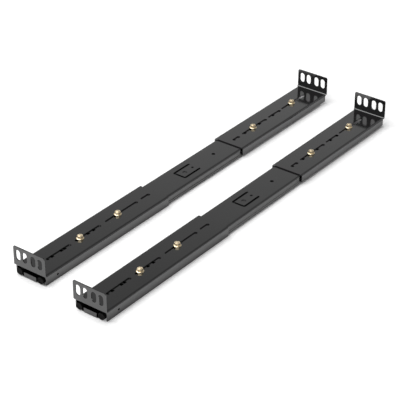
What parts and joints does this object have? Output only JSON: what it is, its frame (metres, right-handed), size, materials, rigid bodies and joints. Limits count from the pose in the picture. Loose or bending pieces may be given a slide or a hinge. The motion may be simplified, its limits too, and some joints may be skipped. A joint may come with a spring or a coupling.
{
  "type": "sliding server rail pair",
  "caption": "Pair of full-extension ball-bearing server rails with slotted rack brackets, depth adjustment, caged balls and a sprung extension lock.",
  "frame": {"origin": "middle of the pair on the face that the server bolts to: halfway between the two rails, halfway between the foremost and the rearmost ear", "axes": "+X across the pair to the right rail, +Y along the rails from the front ears to the rear ears, +Z from the inner members' mounting face to the tops of the ears"},
  "size_m": [0.1828, 0.725, 0.0465],
  "materials": {
    "painted_steel": "gloss black e-coat over rolled sheet steel",
    "slide_steel": "black electrophoretic coat, satin",
    "cage_steel": "bright rolled strip",
    "ball_steel": "polished bearing steel",
    "black_rubber": "moulded, satin",
    "black_plastic": "moulded, matte",
    "yellow_zinc": "yellow zinc plate",
    "lock_steel": "clear zinc plate",
    "pin_steel": "bright turned",
    "spring_steel": "hardened spring strip"
  },
  "bodies": {
    "outer_rails": {"left_outer_member": "slide_steel", "left_clamp_studs": "yellow_zinc", "left_flange_nuts": "yellow_zinc", "left_rear_bumper": "black_plastic", "right_outer_member": "slide_steel", "right_clamp_studs": "yellow_zinc", "right_flange_nuts": "yellow_zinc", "right_rear_bumper": "black_plastic"},
    "left_front_mount": {"left_front_bracket": "painted_steel"},
    "left_rear_mount": {"left_rear_bracket": "painted_steel"},
    "left_middle": {"left_middle_member": "slide_steel"},
    "left_inner": {"left_inner_member": "slide_steel", "left_front_bumpers": "black_rubber", "left_rocker_pin": "pin_steel", "left_rocker_spring": "spring_steel"},
    "left_outer_cage": {"left_outer_ball_cage": "cage_steel", "left_outer_balls": "ball_steel"},
    "left_inner_cage": {"left_inner_ball_cage": "cage_steel", "left_inner_balls": "ball_steel"},
    "left_rocker": {"left_lock_rocker": "lock_steel"},
    "right_front_mount": {"right_front_bracket": "painted_steel"},
    "right_rear_mount": {"right_rear_bracket": "painted_steel"},
    "right_middle": {"right_middle_member": "slide_steel"},
    "right_inner": {"right_inner_member": "slide_steel", "right_front_bumpers": "black_rubber", "right_rocker_pin": "pin_steel", "right_rocker_spring": "spring_steel"},
    "right_outer_cage": {"right_outer_ball_cage": "cage_steel", "right_outer_balls": "ball_steel"},
    "right_inner_cage": {"right_inner_ball_cage": "cage_steel", "right_inner_balls": "ball_steel"},
    "right_rocker": {"right_lock_rocker": "lock_steel"}
  },
  "joints": [
    {"name": "left_front_adjust", "type": "slide", "parent": "outer_rails", "child": "left_front_mount", "axis": [0, -1, 0], "range_m": [-0.007, 0.042]},
    {"name": "left_rear_adjust", "type": "slide", "parent": "outer_rails", "child": "left_rear_mount", "axis": [0, 1, 0], "range_m": [-0.034, 0.025]},
    {"name": "left_middle_slide", "type": "slide", "parent": "outer_rails", "child": "left_middle", "axis": [0, -1, 0], "range_m": [0, 0.33]},
    {"name": "left_inner_slide", "type": "slide", "parent": "left_middle", "child": "left_inner", "axis": [0, -1, 0], "range_m": [0, 0.33]},
    {"name": "left_outer_cage_roll", "type": "slide", "parent": "outer_rails", "child": "left_outer_cage", "axis": [0, -1, 0], "range_m": [0, 0.165]},
    {"name": "left_inner_cage_roll", "type": "slide", "parent": "left_middle", "child": "left_inner_cage", "axis": [0, -1, 0], "range_m": [0, 0.165]},
    {"name": "left_rocker_pivot", "type": "hinge", "parent": "left_inner", "child": "left_rocker", "pos_m": [-0.062, 0.29135, 0.0046], "axis": [1, 0, 0], "range_deg": [0, 5], "stiffness_Nm_per_rad": 0.4, "springref_deg": -14.32, "deforming": ["left_rocker_spring"]},
    {"name": "right_front_adjust", "type": "slide", "parent": "outer_rails", "child": "right_front_mount", "axis": [0, -1, 0], "range_m": [-0.007, 0.042]},
    {"name": "right_rear_adjust", "type": "slide", "parent": "outer_rails", "child": "right_rear_mount", "axis": [0, 1, 0], "range_m": [-0.034, 0.025]},
    {"name": "right_middle_slide", "type": "slide", "parent": "outer_rails", "child": "right_middle", "axis": [0, -1, 0], "range_m": [0, 0.33]},
    {"name": "right_inner_slide", "type": "slide", "parent": "right_middle", "child": "right_inner", "axis": [0, -1, 0], "range_m": [0, 0.33]},
    {"name": "right_outer_cage_roll", "type": "slide", "parent": "outer_rails", "child": "right_outer_cage", "axis": [0, -1, 0], "range_m": [0, 0.165]},
    {"name": "right_inner_cage_roll", "type": "slide", "parent": "right_middle", "child": "right_inner_cage", "axis": [0, -1, 0], "range_m": [0, 0.165]},
    {"name": "right_rocker_pivot", "type": "hinge", "parent": "right_inner", "child": "right_rocker", "pos_m": [0.062, 0.27745, 0.0046], "axis": [1, 0, 0], "range_deg": [0, 5], "stiffness_Nm_per_rad": 0.4, "springref_deg": -14.32, "deforming": ["right_rocker_spring"]}
  ],
  "couplings": [
    {"joint": "left_outer_cage_roll", "follows": "left_middle_slide", "ratio": 0.5},
    {"joint": "left_inner_cage_roll", "follows": "left_inner_slide", "ratio": 0.5},
    {"joint": "right_outer_cage_roll", "follows": "right_middle_slide", "ratio": 0.5},
    {"joint": "right_inner_cage_roll", "follows": "right_inner_slide", "ratio": 0.5}
  ]
}
